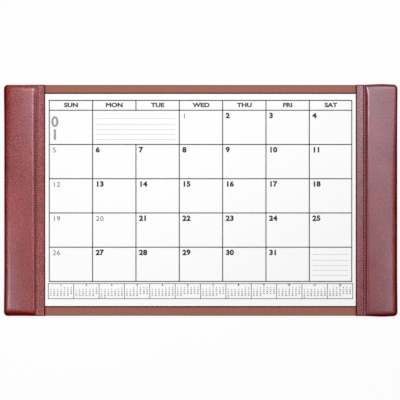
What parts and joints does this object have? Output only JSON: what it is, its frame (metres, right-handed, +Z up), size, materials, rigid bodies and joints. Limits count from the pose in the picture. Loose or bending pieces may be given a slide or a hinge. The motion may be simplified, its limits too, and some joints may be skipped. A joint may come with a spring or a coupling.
{
  "type": "desk pad calendar",
  "caption": "Flat desk pad with a padded leather rail along each side, whose lifting lips hold a tear-off pad of large monthly calendar sheets.",
  "frame": {"origin": "middle of the felt's underside, where the pad rests on a desk", "axes": "+X to the user's right across both rails, +Y away from the user towards the back edge, +Z up"},
  "size_m": [0.8636, 0.508, 0.0179],
  "materials": {
    "leather": "satin",
    "thread": "matte",
    "lining_cloth": "matte",
    "greyboard": "matte",
    "foam": "matte",
    "hardboard": "matte",
    "leatherette": "satin",
    "felt": "matte",
    "backing_board": "matte",
    "padding_gum": "matte",
    "paper": "matte",
    "printing_ink": "matte"
  },
  "bodies": {
    "pad": {"felt_backing": "felt", "base_board": "hardboard", "base_cover": "leatherette", "left_packing_strip": "greyboard", "left_rail_lining": "lining_cloth", "left_rail_core": "greyboard", "left_rail_foam": "foam", "left_rail_leather": "leather", "left_rail_stitching": "thread", "right_packing_strip": "greyboard", "right_rail_lining": "lining_cloth", "right_rail_core": "greyboard", "right_rail_foam": "foam", "right_rail_leather": "leather", "right_rail_stitching": "thread"},
    "left_flap": {"left_flap_lining": "lining_cloth", "left_flap_leather": "leather"},
    "right_flap": {"right_flap_lining": "lining_cloth", "right_flap_leather": "leather"},
    "insert": {"calendar_backing": "backing_board", "calendar_gum_strip": "padding_gum"},
    "january_sheet": {"january_sheet": "paper"},
    "february_sheet": {"february_sheet": "paper"},
    "march_sheet": {"march_sheet": "paper"},
    "april_sheet": {"april_sheet": "paper"},
    "may_sheet": {"may_sheet": "paper"},
    "june_sheet": {"june_sheet": "paper"},
    "july_sheet": {"july_sheet": "paper"},
    "august_sheet": {"august_sheet": "paper"},
    "september_sheet": {"september_sheet": "paper"},
    "october_sheet": {"october_sheet": "paper"},
    "november_sheet": {"november_sheet": "paper"},
    "december_sheet": {"december_sheet": "paper"}
  },
  "joints": [
    {"name": "left_flap_lift", "type": "hinge", "parent": "pad", "child": "left_flap", "pos_m": [-0.3579, 0, 0.00894], "axis": [0, -1, 0], "range_deg": [0, 35]},
    {"name": "right_flap_lift", "type": "hinge", "parent": "pad", "child": "right_flap", "pos_m": [0.3579, 0, 0.00894], "axis": [0, 1, 0], "range_deg": [0, 35]},
    {"name": "insert_slide", "type": "slide", "parent": "pad", "child": "insert", "axis": [0, -1, 0], "range_m": [-0.49, 0.49]},
    {"name": "january_pull", "type": "slide", "parent": "insert", "child": "january_sheet", "axis": [0, -1, 0], "range_m": [0, 0.49]},
    {"name": "february_pull", "type": "slide", "parent": "insert", "child": "february_sheet", "axis": [0, -1, 0], "range_m": [0, 0.49]},
    {"name": "march_pull", "type": "slide", "parent": "insert", "child": "march_sheet", "axis": [0, -1, 0], "range_m": [0, 0.49]},
    {"name": "april_pull", "type": "slide", "parent": "insert", "child": "april_sheet", "axis": [0, -1, 0], "range_m": [0, 0.49]},
    {"name": "may_pull", "type": "slide", "parent": "insert", "child": "may_sheet", "axis": [0, -1, 0], "range_m": [0, 0.49]},
    {"name": "june_pull", "type": "slide", "parent": "insert", "child": "june_sheet", "axis": [0, -1, 0], "range_m": [0, 0.49]},
    {"name": "july_pull", "type": "slide", "parent": "insert", "child": "july_sheet", "axis": [0, -1, 0], "range_m": [0, 0.49]},
    {"name": "august_pull", "type": "slide", "parent": "insert", "child": "august_sheet", "axis": [0, -1, 0], "range_m": [0, 0.49]},
    {"name": "september_pull", "type": "slide", "parent": "insert", "child": "september_sheet", "axis": [0, -1, 0], "range_m": [0, 0.49]},
    {"name": "october_pull", "type": "slide", "parent": "insert", "child": "october_sheet", "axis": [0, -1, 0], "range_m": [0, 0.49]},
    {"name": "november_pull", "type": "slide", "parent": "insert", "child": "november_sheet", "axis": [0, -1, 0], "range_m": [0, 0.49]},
    {"name": "december_pull", "type": "slide", "parent": "insert", "child": "december_sheet", "axis": [0, -1, 0], "range_m": [0, 0.49]}
  ]
}
